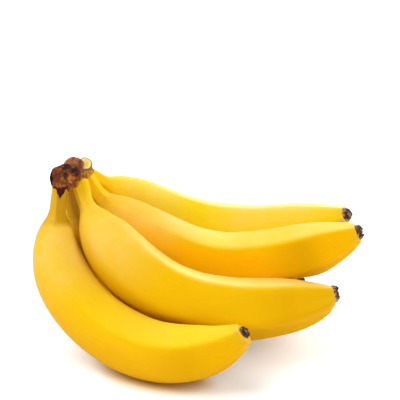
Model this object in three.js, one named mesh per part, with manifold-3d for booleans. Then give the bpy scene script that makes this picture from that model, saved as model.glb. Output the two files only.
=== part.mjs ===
// A hand of bananas lying on a table: five fruits side by side on one dry brown crown.
// Lengths in millimetres, angles in degrees. +Z is up, the table is z = 0 and the front is -Y.
import * as THREE from "three";
import { mergeVertices } from "three/addons/utils/BufferGeometryUtils.js";
import Module from "manifold-3d";

// ---- driving dimensions: the fruits -------------------------------------------------------

// A fruit starts at `stem`, a point on the crown, and runs `length` to its nose. `girth` is its
// radius where it is fullest. `azimuth` turns it left from +X, `dip` lowers its nose and `roll`
// turns it about its own axis. From there it bends towards its inner side by four `curl` angles
// (stem, shoulder, belly, nose) and towards its left by `sway`. `ridge` is the place of one of
// its lengthwise ridges, counted from the inner side round to its left, and `edge` says how
// sharp they are. `blossom` is the radius of the dry end on its nose.
const FRUITS = [
  {
    stem: [-81.3, 1.8, 96.5],
    azimuth: -125,
    dip: 74.5,
    roll: -98,
    length: 182.5,
    girth: 18,
    curl: [10.5, 39, 37.5, 51],
    sway: 2,
    ridge: -71,
    edge: 6.5,
    blossom: 3.8,
  },
  {
    stem: [-70.5, 8.2, 97.6],
    azimuth: -61.5,
    dip: 54,
    roll: -74,
    length: 183.5,
    girth: 19.5,
    curl: [15, 19.5, 36.5, 17.5],
    sway: -2,
    ridge: -60,
    edge: 7.5,
    blossom: 4.8,
  },
  {
    stem: [-68, 19.7, 97.1],
    azimuth: 1,
    dip: 63,
    roll: 9,
    length: 185,
    girth: 18.7,
    curl: [22, 14.5, 37.5, 16.5],
    sway: 0,
    ridge: -39,
    edge: 9,
    blossom: 4.9,
  },
  {
    stem: [-69.7, 31.1, 97.4],
    azimuth: 30.5,
    dip: 36,
    roll: 52,
    length: 184.5,
    girth: 16.9,
    curl: [3.5, 13.5, 40.5, 27.5],
    sway: -2,
    ridge: -55,
    edge: 7.5,
    blossom: 4.4,
  },
  {
    stem: [-78.5, 13.5, 92.1],
    azimuth: 67,
    dip: 75.5,
    roll: 71,
    length: 186.5,
    girth: 16.4,
    curl: [12.5, 35.5, 29, 32.5],
    sway: 2,
    ridge: -64,
    edge: 6,
    blossom: 4.4,
  },
];
const CURL_ENDS = [0, 0.16, 0.36, 0.66, 1]; // where the four curls begin and end, of the length

// [share of the length, share of the girth]: stem, shoulder, belly, then the nose.
const GIRTH_STATIONS = [
  [0, 0.255],
  [0.065, 0.26],
  [0.09, 0.31],
  [0.11, 0.42],
  [0.13, 0.54],
  [0.155, 0.65],
  [0.21, 0.81],
  [0.27, 0.9],
  [0.36, 0.945],
  [0.6, 0.96],
  [0.72, 0.925],
  [0.8, 0.88],
  [0.86, 0.795],
  [0.92, 0.63],
  [0.97, 0.45],
  [1, 0.32],
];
// [share of the length, how much of the ridges shows there]: they fade on the shoulder.
const RIDGE_STATIONS = [
  [0, 0.9],
  [0.08, 0.6],
  [0.2, 0.3],
  [0.4, 0.75],
  [0.7, 1],
  [1, 1],
];
const RIDGES = 5; // ridges round a fruit
const STEM_IN_CROWN = 3; // how far each stem runs on into the crown
const GAP = 0.3; // left between two pieces that touch
const SIDES = 20; // facets round a fruit
const RINGS = 41; // facets along a fruit
const RING_CROWDING = 0.35; // how much closer the rings stand at both ends of a fruit
const AXIS_STEPS = 160; // steps that a fruit's whole axis is summed in
const TABLE_SIDE = 400; // the block that cuts the fruits off flat at z = 0
const TABLE_DEPTH = 50;

// ---- driving dimensions: blossom ends, crown and cut stub ----------------------------------

const BLOSSOM_LENGTH = 3.9;
const BLOSSOM_HOLLOW = 0.9; // how deep its end is hollowed
const BLOSSOM_LUMP = 0.12; // how uneven it is, as a share of its radius
const BLOSSOM_WAVES = [3, 5]; // its coarse and fine lumps round the fruit
const BLOSSOM_WAVE_SHARES = [0.6, 0.4];
const BLOSSOM_SIDES = 15;
const BLOSSOM_RINGS = 4;
const BLOSSOM_STATIONS = [
  [0, 0.94],
  [0.3, 1],
  [0.6, 0.97],
  [0.85, 0.86],
  [1, 0.66],
];

// The crown is a row of dry lumps grown together. Each has a centre and three half sizes.
const CROWN_LUMPS = [
  { at: [-78.1, 3.6, 102.2], size: [9.2, 7.2, 7.6] },
  { at: [-81.9, 2.6, 100.6], size: [4.9, 6.4, 6.2] },
  { at: [-76.7, 9.5, 101.4], size: [7.4, 8.6, 7] },
  { at: [-74.7, 15.9, 103.3], size: [6.8, 8.4, 7.4] },
  { at: [-68.9, 18.3, 102.1], size: [5.5, 7.2, 4] },
  { at: [-71.9, 26.3, 100.6], size: [5.9, 7.2, 5.4] },
];
const LUMP_SIDES = 22;
const LUMP_RINGS = 14;
const CROWN_BUMPS = 0.5; // height of the bumps on it
const BROAD_BUMPS = { x: 0.9, y: 0.8, lean: 0.5 }; // bumps per radian along each way
const FINE_BUMPS = { x: 1.3, y: 0.7, lean: 1.5, share: 0.7 };
const STEM_ROOM_END = 0.12; // the share of a fruit that its room in the crown reaches to
const STEM_ROOM_RINGS = 8;

// The dry flap that hangs from the crown in front of the first stem.
const FLAP_TOP = [-80.2, -2.4, 99.5];
const FLAP_TIP = [-80.9, -5.7, 91.6];
const FLAP_RADIUS = 3.8;
const FLAP_SIDES = 9;

// The stub of a fruit that was cut away: a short post that ends at its pale cut face.
const STUB_FACE = [-67.6, 16, 107.3];
const STUB_AXIS = [0.1, -0.6, 0.79];
const STUB_RADIUS = 4.1;
const STUB_LENGTH = 3.5;
const STUB_EDGE = 5; // it is five-sided too
const STUB_RIDGE = 20;
const STUB_SIDES = 15;

// ---- tools --------------------------------------------------------------------------------

const wasm = await Module();
wasm.setup();
const rad = THREE.MathUtils.degToRad;

// A smooth curve through [place, value] stations that never overshoots them.
function through(stations) {
  const places = stations.map(([place]) => place);
  const values = stations.map(([, value]) => value);
  const steps = places.slice(1).map((place, i) => place - places[i]);
  const rises = values.slice(1).map((value, i) => (value - values[i]) / steps[i]);
  const slopes = values.map((_, i) => {
    if (i === 0) return endSlope(steps[0], steps[1], rises[0], rises[1]);
    if (i === rises.length) return endSlope(steps.at(-1), steps.at(-2), rises.at(-1), rises.at(-2));
    if (rises[i - 1] * rises[i] <= 0) return 0;
    const before = 2 * steps[i] + steps[i - 1];
    const after = steps[i] + 2 * steps[i - 1];
    return (before + after) / (before / rises[i - 1] + after / rises[i]);
  });
  return (share) => {
    const place = THREE.MathUtils.clamp(share, places[0], places.at(-1));
    const next = places.findIndex((p) => p > place);
    const i = next < 0 ? rises.length - 1 : next - 1;
    const t = (place - places[i]) / steps[i];
    return (
      values[i] * (1 + 2 * t) * (1 - t) ** 2 +
      values[i + 1] * t * t * (3 - 2 * t) +
      steps[i] * (slopes[i] * t * (1 - t) ** 2 - slopes[i + 1] * t * t * (1 - t))
    );
  };
}

function endSlope(near, next, riseNear, riseNext) {
  const slope = ((2 * near + next) * riseNear - near * riseNext) / (near + next);
  if (slope * riseNear <= 0) return 0;
  const turns = riseNear * riseNext <= 0;
  return turns && Math.abs(slope) > 3 * Math.abs(riseNear) ? 3 * riseNear : slope;
}

// A capped cylinder whose points move to place(along, angle, wide): along runs from 0 to 1, and
// wide is 1 on its side and 0 at the middle of either cap.
function shapedCylinder(sides, rings, place) {
  const geometry = new THREE.CylinderGeometry(1, 1, 1, sides, rings);
  const points = geometry.getAttribute("position");
  for (let i = 0; i < points.count; i += 1) {
    const [x, y, z] = new THREE.Vector3().fromBufferAttribute(points, i).toArray();
    const point = place(y + 0.5, Math.atan2(z, x), Math.hypot(x, z));
    points.setXYZ(i, ...point.toArray());
  }
  return geometry;
}

function solidOf(geometry) {
  const bare = geometry.clone();
  bare.deleteAttribute("normal");
  bare.deleteAttribute("uv");
  const merged = mergeVertices(bare, 1e-3);
  const vertProperties = merged.getAttribute("position").array;
  const triVerts = new Uint32Array(merged.index.array);
  return new wasm.Manifold(new wasm.Mesh({ numProp: 3, vertProperties, triVerts }));
}

function geometryOf(solid) {
  const { vertProperties, triVerts } = solid.getMesh();
  const geometry = new THREE.BufferGeometry();
  geometry.setAttribute("position", new THREE.BufferAttribute(vertProperties, 3));
  geometry.setIndex(new THREE.BufferAttribute(triVerts, 1));
  return geometry;
}

function meshOf(name, geometry, material) {
  geometry.computeVertexNormals();
  const mesh = new THREE.Mesh(geometry, material);
  mesh.name = name;
  return mesh;
}

// ---- a fruit, in its own frame: it starts at the origin along +X and bends towards +Z -------

const girthAt = through(GIRTH_STATIONS);
const ridgesAt = through(RIDGE_STATIONS);
const blossomAt = through(BLOSSOM_STATIONS);

// The rounded five-sided section: the distance of its skin from the axis at `angle`, in degrees,
// as a share of the mean.
function sectionAt(angle, ridge, edge) {
  const faces = Array.from({ length: RIDGES }, (_, k) => ridge + ((k + 0.5) * 360) / RIDGES);
  const sum = faces.reduce((s, face) => s + Math.max(0, Math.cos(rad(angle - face))) ** edge, 0);
  const ridgeSize = (2 * Math.cos(Math.PI / RIDGES) ** edge) ** (-1 / edge);
  return (2 * sum ** (-1 / edge)) / (1 + ridgeSize);
}

// Returns at(share): where the axis is at a share of the length, its tangent, the way to its
// inner side and the way to its left. Below 0 it runs straight into the crown, above 1 straight
// out of the nose.
function axisOf({ length, curl, sway }) {
  const bends = CURL_ENDS.map((end, i) => [end, curl.slice(0, i).reduce((a, b) => a + b, 0)]);
  const bendAt = through(bends);
  const tangentAt = (share) => {
    const up = rad(bendAt(share));
    const left = rad(sway * THREE.MathUtils.clamp(share, 0, 1));
    return new THREE.Vector3(
      Math.cos(up) * Math.cos(left),
      Math.sin(left),
      Math.sin(up) * Math.cos(left),
    );
  };
  return (share) => {
    const point = new THREE.Vector3();
    const steps = Math.ceil(Math.abs(share) * AXIS_STEPS);
    for (let i = 0; i < steps; i += 1) {
      const middle = ((i + 0.5) / steps) * share;
      point.addScaledVector(tangentAt(middle), (share * length) / steps);
    }
    const tangent = tangentAt(share);
    const inner = new THREE.Vector3(-tangent.z, 0, tangent.x).normalize();
    return { point, inner, left: new THREE.Vector3().crossVectors(inner, tangent), tangent };
  };
}

// A tube round the fruit's axis from share `from` to share `to`. `extra` is added to its radius.
function tubeOf(fruit, from, to, rings, extra) {
  const at = axisOf(fruit);
  const swell = 2 / (1 + Math.cos(Math.PI / SIDES)); // makes up for the flat facets
  return shapedCylinder(SIDES, rings, (along, angle, wide) => {
    const crowded = along - (RING_CROWDING * Math.sin(2 * Math.PI * along)) / (2 * Math.PI);
    const share = THREE.MathUtils.lerp(from, to, crowded);
    const { point, inner, left } = at(share);
    const turn = angle + rad(fruit.ridge);
    const section = sectionAt(THREE.MathUtils.radToDeg(turn), fruit.ridge, fruit.edge);
    const skin = fruit.girth * girthAt(share) * (1 + ridgesAt(share) * (section - 1));
    const reach = wide * (swell * skin + extra);
    return point
      .addScaledVector(inner, reach * Math.cos(turn))
      .addScaledVector(left, reach * Math.sin(turn));
  });
}

// The fruit's skin. Where it would sink into the table it is cut off flat.
function fruitGeometry(fruit, frame) {
  const skin = tubeOf(fruit, -STEM_IN_CROWN / fruit.length, 1, RINGS, 0);
  const table = new THREE.BoxGeometry(TABLE_SIDE, TABLE_SIDE, TABLE_DEPTH);
  table.translate(0, 0, -TABLE_DEPTH / 2);
  table.applyMatrix4(frame.matrixWorld.clone().invert());
  return geometryOf(solidOf(skin).subtract(solidOf(table)));
}

// What the crown gives way to: the fruit's stem, and a gap all round it.
function stemRoom(fruit, frame) {
  const start = -(STEM_IN_CROWN + GAP) / fruit.length;
  return tubeOf(fruit, start, STEM_ROOM_END, STEM_ROOM_RINGS, GAP).applyMatrix4(frame.matrixWorld);
}

// The dry remains of the flower: an uneven stub on the nose, hollowed at its end.
function blossomGeometry(fruit, index) {
  const { point, inner, left, tangent } = axisOf(fruit)(1);
  return shapedCylinder(BLOSSOM_SIDES, BLOSSOM_RINGS, (along, angle, wide) => {
    const lumps = BLOSSOM_WAVES.map((wave, i) => Math.sin(wave * angle + (2 - i) * index));
    const lump = lumps.reduce((sum, height, i) => sum + BLOSSOM_WAVE_SHARES[i] * height, 0);
    const uneven = 1 + BLOSSOM_LUMP * lump * Math.min(1, 3 * along);
    const reach = wide * fruit.blossom * blossomAt(along) * uneven;
    const hollow = along === 1 ? (1 - wide) * BLOSSOM_HOLLOW : 0;
    return point
      .clone()
      .addScaledVector(tangent, GAP + along * BLOSSOM_LENGTH - hollow)
      .addScaledVector(inner, reach * Math.cos(angle))
      .addScaledVector(left, reach * Math.sin(angle));
  });
}

// ---- the crown and the cut stub -------------------------------------------------------------

function lumpGeometry({ at, size }) {
  const lump = new THREE.SphereGeometry(1, LUMP_SIDES, LUMP_RINGS).scale(...size).translate(...at);
  const points = lump.getAttribute("position");
  const middle = new THREE.Vector3(...at);
  for (let i = 0; i < points.count; i += 1) {
    const point = new THREE.Vector3().fromBufferAttribute(points, i);
    const { x, y, z } = point;
    const broad = Math.sin(BROAD_BUMPS.x * x + BROAD_BUMPS.lean * z) * Math.cos(BROAD_BUMPS.y * y);
    const fine = Math.sin(FINE_BUMPS.lean * z + FINE_BUMPS.y * y) * Math.sin(FINE_BUMPS.x * x);
    const outward = point.clone().sub(middle).normalize();
    point.addScaledVector(outward, CROWN_BUMPS * (broad + FINE_BUMPS.share * fine));
    points.setXYZ(i, ...point.toArray());
  }
  return lump;
}

function flapGeometry() {
  const top = new THREE.Vector3(...FLAP_TOP);
  const drop = new THREE.Vector3(...FLAP_TIP).sub(top);
  const down = new THREE.Vector3(0, 1, 0);
  const turn = new THREE.Quaternion().setFromUnitVectors(down, drop.clone().normalize());
  const middle = top.addScaledVector(drop, 0.5);
  return new THREE.ConeGeometry(FLAP_RADIUS, drop.length(), FLAP_SIDES)
    .applyQuaternion(turn)
    .translate(...middle.toArray());
}

// The stub along STUB_AXIS up to its face. `grown` makes the room it takes in the crown.
function stubGeometry(grown) {
  const axis = new THREE.Vector3(...STUB_AXIS).normalize();
  const turn = new THREE.Quaternion().setFromUnitVectors(new THREE.Vector3(0, 1, 0), axis);
  const length = STUB_LENGTH + (grown > 0 ? 2 * STUB_LENGTH : 0);
  const shape = shapedCylinder(STUB_SIDES, 1, (along, angle, wide) => {
    const section = sectionAt(THREE.MathUtils.radToDeg(angle), STUB_RIDGE, STUB_EDGE);
    const reach = wide * (STUB_RADIUS * section + grown);
    const height = along * length - STUB_LENGTH - grown;
    return new THREE.Vector3(reach * Math.cos(angle), height, reach * Math.sin(angle));
  });
  return shape.applyQuaternion(turn).translate(...STUB_FACE);
}

function crownGeometry(frames) {
  const [first, ...others] = CROWN_LUMPS.map((lump) => solidOf(lumpGeometry(lump)));
  let crown = others.reduce((sum, lump) => sum.add(lump), first);
  crown = crown.add(solidOf(flapGeometry()));
  FRUITS.forEach((fruit, i) => {
    crown = crown.subtract(solidOf(stemRoom(fruit, frames[i])));
  });
  return geometryOf(crown.subtract(solidOf(stubGeometry(GAP))));
}

// ---- the bunch ------------------------------------------------------------------------------

const peel = new THREE.MeshStandardMaterial({ color: 0xf6c21a, roughness: 0.45, metalness: 0 });
const dry = new THREE.MeshStandardMaterial({ color: 0x6b4330, roughness: 0.9, metalness: 0 });
const pale = new THREE.MeshStandardMaterial({ color: 0xe3d878, roughness: 0.6, metalness: 0 });
const dark = new THREE.MeshStandardMaterial({ color: 0x3d2c26, roughness: 0.95, metalness: 0 });

const bunch = new THREE.Group();
bunch.name = "bunch_of_bananas";
const frames = FRUITS.map((fruit, index) => {
  const frame = new THREE.Group();
  frame.position.set(...fruit.stem);
  frame.rotation.set(rad(fruit.roll), rad(fruit.dip), rad(fruit.azimuth), "ZYX");
  frame.updateMatrixWorld(true);
  frame.add(meshOf(`banana_${index + 1}`, fruitGeometry(fruit, frame), peel));
  frame.add(meshOf(`blossom_end_${index + 1}`, blossomGeometry(fruit, index), dark));
  bunch.add(frame);
  return frame;
});
bunch.add(meshOf("crown", crownGeometry(frames), dry));
bunch.add(meshOf("cut_stub", stubGeometry(0), pale));

export default bunch;
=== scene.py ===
"""A hand of ripe bananas on a pale floor: five fruits, their blossom ends, the crown and a stub."""
import logging
import math
from dataclasses import dataclass, field
from enum import Enum
from typing import Callable, Sequence

import bmesh
import bpy
import numpy as np
from mathutils import Euler, Matrix, Vector, noise
from mathutils.kdtree import KDTree


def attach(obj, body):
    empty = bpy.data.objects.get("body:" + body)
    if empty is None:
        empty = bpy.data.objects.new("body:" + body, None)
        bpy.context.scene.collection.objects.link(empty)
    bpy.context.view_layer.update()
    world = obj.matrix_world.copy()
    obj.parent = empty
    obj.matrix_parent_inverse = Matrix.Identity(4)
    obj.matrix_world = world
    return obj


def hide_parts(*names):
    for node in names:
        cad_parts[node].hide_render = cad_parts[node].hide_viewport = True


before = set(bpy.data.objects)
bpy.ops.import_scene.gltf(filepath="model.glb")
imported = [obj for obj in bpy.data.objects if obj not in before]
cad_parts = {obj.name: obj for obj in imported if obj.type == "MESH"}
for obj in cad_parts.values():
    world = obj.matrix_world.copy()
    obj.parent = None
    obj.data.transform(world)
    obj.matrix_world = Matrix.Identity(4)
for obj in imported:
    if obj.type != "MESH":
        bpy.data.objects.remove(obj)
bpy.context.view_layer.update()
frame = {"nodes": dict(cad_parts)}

log = logging.getLogger("bananas")
Point = tuple[float, float, float]
Colour = tuple[float, float, float]
Wire = bpy.types.NodeSocket
Wires = dict[str, bpy.types.NodeSocket]
Station = tuple[Vector, Vector, Vector, Vector]  # a point of an axis, its tangent, inner way and left way

MM = 0.001  # sizes are in millimetres, unless they say metres, and the scene's unit is the metre
RIDGES = 5  # ridges round a fruit
RIDGE_STEP = 360 / RIDGES  # degrees from one ridge to the next
RIDGE_WIDTH = 5.0  # degrees in which the crease on a ridge fades
STEM_IN_CROWN = 3.0  # how far a fruit's skin runs back from its stem's end, into the crown
POLES = 2  # the middles of a tube's two ends, stored after its rings
BODY = "root"  # the body that every piece belongs to
BLACK: Colour = (0.0, 0.0, 0.0)


# ---- shapes -----------------------------------------------------------------------------------


class Stations:
    """A smooth curve through (place, value) stations that never overshoots them."""

    def __init__(self, stations: Sequence[tuple[float, float]]) -> None:
        """Work out the slope at every station.

        Args:
            stations: The places, in rising order, with the value at each.
        """
        self.places = np.array([place for place, _ in stations], dtype=float)
        self.values = np.array([value for _, value in stations], dtype=float)
        steps = np.diff(self.places)
        rises = np.diff(self.values) / steps
        slopes = np.zeros(len(stations))
        slopes[0] = self._end_slope(steps[0], steps[1], rises[0], rises[1])
        slopes[-1] = self._end_slope(steps[-1], steps[-2], rises[-1], rises[-2])
        for i in range(1, len(rises)):
            if rises[i - 1] * rises[i] > 0:
                before = 2 * steps[i] + steps[i - 1]
                after = steps[i] + 2 * steps[i - 1]
                slopes[i] = (before + after) / (before / rises[i - 1] + after / rises[i])
        self.slopes = slopes

    @staticmethod
    def _end_slope(near: float, following: float, rise_near: float, rise_next: float) -> float:
        """Return the slope at an end, from the two steps next to it.

        Args:
            near: The step next to the end.
            following: The step after it.
            rise_near: How steeply the values rise over the nearest step.
            rise_next: The same over the step after it.

        Returns:
            The slope, without a turn between the two stations.
        """
        slope = ((2 * near + following) * rise_near - near * rise_next) / (near + following)
        if slope * rise_near <= 0:
            return 0.0
        turns = rise_near * rise_next <= 0
        return 3 * rise_near if turns and abs(slope) > 3 * abs(rise_near) else slope

    def __call__(self, place: float) -> float:
        """Return the value at a place.

        Args:
            place: The place. Beyond the ends it counts as the nearest end.

        Returns:
            The value of the curve there.
        """
        place = min(max(place, self.places[0]), self.places[-1])
        i = min(int(np.searchsorted(self.places, place, side="right")) - 1, len(self.places) - 2)
        step = self.places[i + 1] - self.places[i]
        t = (place - self.places[i]) / step
        return float(
            self.values[i] * (1 + 2 * t) * (1 - t) ** 2
            + self.values[i + 1] * t * t * (3 - 2 * t)
            + step * (self.slopes[i] * t * (1 - t) ** 2 - self.slopes[i + 1] * t * t * (1 - t))
        )


# A fruit's girth along its length, as a share of its full girth.
GIRTH = Stations(
    [
        (0, 0.255), (0.065, 0.26), (0.09, 0.31), (0.11, 0.42), (0.13, 0.54), (0.155, 0.65),
        (0.21, 0.81), (0.27, 0.9), (0.36, 0.945), (0.6, 0.96), (0.72, 0.925), (0.8, 0.88),
        (0.86, 0.795), (0.92, 0.63), (0.97, 0.45), (1, 0.32),
    ]
)
# How much of the ridges shows along its length.
RIDGE_SHOWS = Stations([(0, 0.9), (0.08, 0.6), (0.2, 0.3), (0.4, 0.75), (0.7, 1), (1, 1)])
CURL_ENDS = (0, 0.16, 0.36, 0.66, 1)  # where its four curls begin and end


def smoothstep(low: float, high: float, value: float) -> float:
    """Return 0 at low, 1 at high and a smooth change between them. Low may be the larger."""
    t = min(max((value - low) / (high - low), 0.0), 1.0)
    return t * t * (3 - 2 * t)


def section(angle: float, ridge: float, edge: float) -> float:
    """Return the skin's distance from the axis, as a share of the mean.

    Args:
        angle: Where on the section, in degrees from the inner side.
        ridge: Where one of the ridges is, in degrees.
        edge: How sharp the ridges are.

    Returns:
        The share: above 1 on a ridge and below 1 between two.
    """
    faces = (ridge + (k + 0.5) * RIDGE_STEP for k in range(RIDGES))
    total = sum(max(0.0, math.cos(math.radians(angle - face))) ** edge for face in faces)
    ridge_size = (2 * math.cos(math.pi / RIDGES) ** edge) ** (-1 / edge)
    return 2 * total ** (-1 / edge) / (1 + ridge_size)


def mesh_piece(
    name: str,
    points: Sequence[Sequence[float]],
    faces: Sequence[Sequence[int]],
    finish: bpy.types.Material,
) -> bpy.types.Object:
    """Make a smooth mesh object from points in millimetres.

    Args:
        name: The piece's name.
        points: The corners, in millimetres.
        faces: The faces, as indices of corners.
        finish: The material that covers it.

    Returns:
        The object, linked to the scene.
    """
    mesh = bpy.data.meshes.new(name)
    mesh.from_pydata([(x * MM, y * MM, z * MM) for x, y, z in points], [], faces)
    mesh.validate()
    form = bmesh.new()
    form.from_mesh(mesh)
    bmesh.ops.recalc_face_normals(form, faces=form.faces)
    form.to_mesh(mesh)
    form.free()
    mesh.polygons.foreach_set("use_smooth", [True] * len(mesh.polygons))
    mesh.materials.append(finish)
    mesh.update()
    piece = bpy.data.objects.new(name, mesh)
    bpy.context.scene.collection.objects.link(piece)
    return piece


def ring_faces(rings: int, sides: int) -> list[tuple[int, ...]]:
    """Return the faces of a closed tube of rings, with a fan of faces over both ends.

    Args:
        rings: How many rings of points there are, stored one after the other.
        sides: The points in each ring. Two more points follow the rings: the middles of its ends.

    Returns:
        The faces, as indices of corners.
    """
    faces: list[tuple[int, ...]] = []
    for r in range(rings - 1):
        for s in range(sides):
            right = (s + 1) % sides
            faces.append((r * sides + s, r * sides + right, (r + 1) * sides + right, (r + 1) * sides + s))
    first, last = rings * sides, rings * sides + 1
    end = (rings - 1) * sides
    for s in range(sides):
        right = (s + 1) % sides
        faces.append((first, right, s))
        faces.append((last, end + s, end + right))
    return faces


def paint(piece: bpy.types.Object, name: str, values: Sequence[float]) -> None:
    """Store a number for every corner of a piece, for its material to read."""
    layer = piece.data.attributes.new(name, "FLOAT", "POINT")
    layer.data.foreach_set("value", values)


def paint_places(piece: bpy.types.Object, name: str, places: Sequence[Point]) -> None:
    """Store a place for every corner of a piece, for its material to read."""
    layer = piece.data.attributes.new(name, "FLOAT_VECTOR", "POINT")
    layer.data.foreach_set("vector", [number for place in places for number in place])


class Tube:
    """The corners of a closed tube, ring by ring, with what its material reads at each of them."""

    def __init__(self, sides: int) -> None:
        """Start with no rings.

        Args:
            sides: The corners in each ring.
        """
        self.sides = sides
        self.points: list[Point] = []
        self.places: list[Point] = []
        self.tones: dict[str, list[float]] = {}

    def add(self, point: Vector, place: Vector, **tones: float) -> None:
        """Add a corner.

        Args:
            point: Where it is.
            place: Where it is in the patterns of its material.
            tones: The numbers that are stored there, by name.
        """
        self.points.append(tuple(point))
        self.places.append(tuple(place))
        for name, value in tones.items():
            self.tones.setdefault(name, []).append(value)

    def piece(self, name: str, pattern: str, finish: bpy.types.Material) -> bpy.types.Object:
        """Return the tube as one closed mesh.

        Args:
            name: The piece's name.
            pattern: The name that the places are stored under.
            finish: The material that covers it.

        Returns:
            The mesh object, with the places and the tones stored in it.
        """
        rings = (len(self.points) - POLES) // self.sides
        piece = mesh_piece(name, self.points, ring_faces(rings, self.sides), finish)
        paint_places(piece, pattern, self.places)
        for tone, values in self.tones.items():
            paint(piece, tone, values)
        return piece


def tree_of(points: Sequence[Vector]) -> KDTree:
    """Return a tree that finds the nearest of some points.

    Args:
        points: The points, which it knows by their order.

    Returns:
        The tree, ready to search.
    """
    tree = KDTree(len(points))
    for i, point in enumerate(points):
        tree.insert(point, i)
    tree.balance()
    return tree


def paint_closeness(peels: Sequence[bpy.types.Object], far: float = 4.5, near: float = 0.8) -> None:
    """Store how close each corner of each peel is to the next fruit, from 0 to 1, as "close", which places
    painted crevice shade.

    Args:
        peels: The fruits' skins.
        far: The distance in millimetres from which nothing shows.
        near: The distance in millimetres below which it shows in full.
    """
    for peel in peels:
        others = (other for other in peels if other is not peel)
        tree = tree_of([corner.co / MM for other in others for corner in other.data.vertices])
        gaps = (tree.find(corner.co / MM)[2] for corner in peel.data.vertices)
        paint(peel, "close", [smoothstep(far, near, gap) for gap in gaps])


def settle(piece: bpy.types.Object, nodes: Sequence[str], slot: str) -> bpy.types.Object:
    """Put a piece on the body that it belongs to, and say what it stands for.

    Args:
        piece: The finished piece.
        nodes: The solids that it stands for.
        slot: The material slot that its finish belongs to.

    Returns:
        The piece.
    """
    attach(piece, BODY)
    if nodes:
        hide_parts(*nodes)
    log.info("%s: %d faces, %s", piece.name, len(piece.data.polygons), slot)
    return piece


# ---- wiring of materials ------------------------------------------------------------------------


class Wiring:
    """Adds and joins the nodes of one tree."""

    def __init__(self, tree: bpy.types.NodeTree) -> None:
        """Start with the tree that the nodes go into."""
        self.tree = tree

    def add(self, kind: str, **settings: object) -> bpy.types.Node:
        """Add a node of a kind and set what is named.

        Args:
            kind: The name of the kind.
            settings: What is set on the node, by name.

        Returns:
            The node.
        """
        node = self.tree.nodes.new(kind)
        for name, value in settings.items():
            setattr(node, name, value)
        return node

    def put(self, socket: Wire, value: object) -> None:
        """Give an input its value: another socket, a colour or a number.

        Args:
            socket: The input.
            value: What it gets.
        """
        if isinstance(value, Wire):
            self.tree.links.new(value, socket)
        elif isinstance(value, tuple) and socket.type == "RGBA":
            socket.default_value = (*value[:3], 1.0)
        else:
            socket.default_value = value

    def math(self, operation: str, a: object, b: object = 0.0, clamp: bool = False) -> Wire:
        """Return the result of an operation on one or two numbers.

        Args:
            operation: The name of the operation.
            a: The first number.
            b: The second number, where the operation has one.
            clamp: Whether the result is kept between 0 and 1.

        Returns:
            The result.
        """
        node = self.add("ShaderNodeMath", operation=operation, use_clamp=clamp)
        self.put(node.inputs[0], a)
        self.put(node.inputs[1], b)
        return node.outputs[0]

    def times(self, a: object, b: object) -> Wire:
        """Return the product of two numbers."""
        return self.math("MULTIPLY", a, b)

    def vector(self, operation: str, a: object, b: object) -> Wire:
        """Return the result of an operation on two vectors.

        Args:
            operation: The name of the operation.
            a: The first vector.
            b: The second vector.

        Returns:
            The result.
        """
        node = self.add("ShaderNodeVectorMath", operation=operation)
        self.put(node.inputs[0], a)
        self.put(node.inputs[1], b)
        return node.outputs[0]

    def mix(self, share: object, a: object, b: object) -> Wire:
        """Return two colours mixed, b by its share.

        Args:
            share: How much of the second colour shows, from 0 to 1.
            a: The first colour.
            b: The second colour.

        Returns:
            The mixed colour.
        """
        node = self.add("ShaderNodeMix", data_type="RGBA", blend_type="MIX", clamp_factor=True)
        self.put(node.inputs[0], share)
        self.put(node.inputs[6], a)
        self.put(node.inputs[7], b)
        return node.outputs[2]

    def span(self, value: object, low: float, high: float, start: float = 0.0, end: float = 1.0) -> Wire:
        """Return start at low, end at high and a smooth change between them. Low may be the larger.

        Args:
            value: What decides between the two.
            low: Where the change starts.
            high: Where it ends.
            start: What comes out at low and beyond it.
            end: What comes out at high and beyond it.

        Returns:
            The result.
        """
        node = self.add("ShaderNodeMapRange", interpolation_type="SMOOTHSTEP")
        names = ("Value", "From Min", "From Max", "To Min", "To Max")
        for name, number in zip(names, (value, low, high, start, end)):
            self.put(node.inputs[name], number)
        return node.outputs[0]

    def noise(
        self, place: object, scale: object, detail: float, rough: float, twist: float = 0.0
    ) -> Wire:
        """Return cloudy noise between 0 and 1 over a place.

        Args:
            place: The place.
            scale: How many clouds there are to a unit of the place.
            detail: How many finer layers it has.
            rough: How strong the finer layers are.
            twist: How far the clouds are distorted.

        Returns:
            The noise.
        """
        node = self.add("ShaderNodeTexNoise")
        self.put(node.inputs["Vector"], place)
        self.put(node.inputs["Scale"], scale)
        self.put(node.inputs["Detail"], detail)
        self.put(node.inputs["Roughness"], rough)
        self.put(node.inputs["Distortion"], twist)
        return node.outputs[0]

    def group(self, group: bpy.types.NodeTree, **values: object) -> bpy.types.Node:
        """Place a shared effect and set its inputs by name.

        Args:
            group: The effect.
            values: Its inputs, by name, with _ for a space.

        Returns:
            The node that stands for the effect.
        """
        node = self.add("ShaderNodeGroup", node_tree=group)
        for name, value in values.items():
            self.put(node.inputs[name.replace("_", " ")], value)
        return node

    def mask(self, group: bpy.types.NodeTree, **values: object) -> Wire:
        """Place a shared effect, set its inputs by name and return its mask."""
        return self.group(group, **values).outputs["Mask"]

    def layer(self, name: str, output: str = "Fac") -> Wire:
        """Return what the mesh stores under a name."""
        return self.add("ShaderNodeAttribute", attribute_name=name).outputs[output]


@dataclass(frozen=True)
class Socket:
    """An input or output of a shared effect."""

    name: str
    kind: str = "NodeSocketFloat"
    value: float | Point | None = None


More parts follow.
